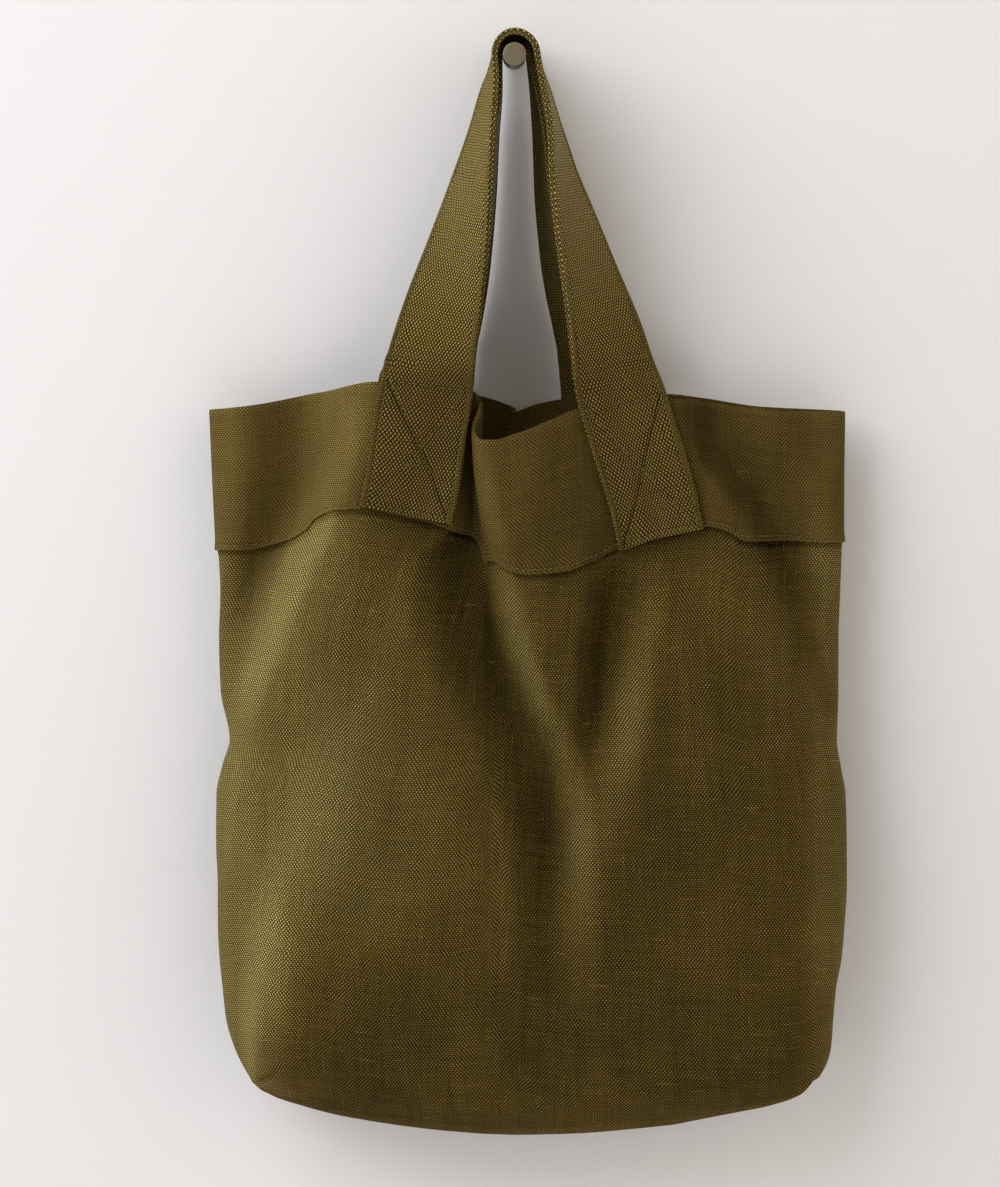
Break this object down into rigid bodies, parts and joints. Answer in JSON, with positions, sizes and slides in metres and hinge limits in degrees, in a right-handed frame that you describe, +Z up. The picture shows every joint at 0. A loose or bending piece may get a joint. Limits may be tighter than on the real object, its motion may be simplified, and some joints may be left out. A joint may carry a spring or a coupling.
{
  "type": "tote bag on a wall peg",
  "caption": "Soft canvas tote bag with a deep folded top band and wide flat handles, hanging by them from a plain round wall peg.",
  "frame": {"origin": "centre of the peg's flat end against the wall", "axes": "+Z up, +Y into the wall, +X to the right seen from the room"},
  "size_m": [0.4278, 0.1077, 0.7336],
  "materials": {
    "peg_finish": "satin grey-brown paint",
    "body_canvas": "olive linen-cotton canvas, plain weave",
    "band_canvas": "olive linen-cotton canvas, folded and topstitched",
    "handle_canvas": "olive heavy canvas, coarse basket weave, topstitched edges"
  },
  "bodies": {
    "root": {"wall_peg": "peg_finish", "bag_body": "body_canvas", "top_band": "band_canvas", "front_handle": "handle_canvas", "back_handle": "handle_canvas"}
  },
  "joints": []
}
